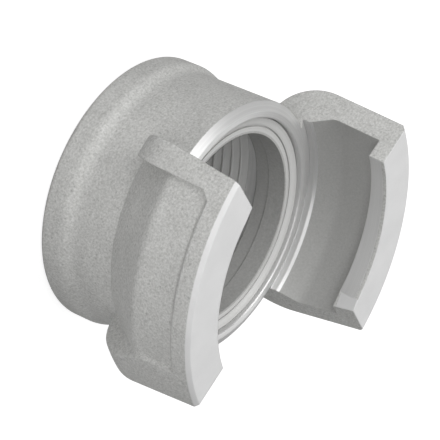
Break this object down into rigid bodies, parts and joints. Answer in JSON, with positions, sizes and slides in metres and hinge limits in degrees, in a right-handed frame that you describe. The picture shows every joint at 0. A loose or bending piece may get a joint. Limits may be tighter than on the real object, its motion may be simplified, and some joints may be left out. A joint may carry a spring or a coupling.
{
  "type": "claw coupling",
  "caption": "Half of a symmetrical claw pipe coupling: cast body with a female pipe thread, two hooked claws round an open mouth, and a ring seal seated behind the nose.",
  "frame": {"origin": "on the pipe axis at the rear face, the end with the pipe thread", "axes": "+Z along the pipe axis towards the mouth, claws on +X and -X, gaps between the claws on +Y and -Y"},
  "size_m": [0.0742, 0.0562, 0.0437],
  "materials": {
    "cast_aluminium": "fine cast grain outside, turned bright at the mouth and in the bores",
    "seal_elastomer": "smooth satin"
  },
  "bodies": {
    "root": {"coupling_body": "cast_aluminium", "mouth_seal": "seal_elastomer"}
  },
  "joints": []
}
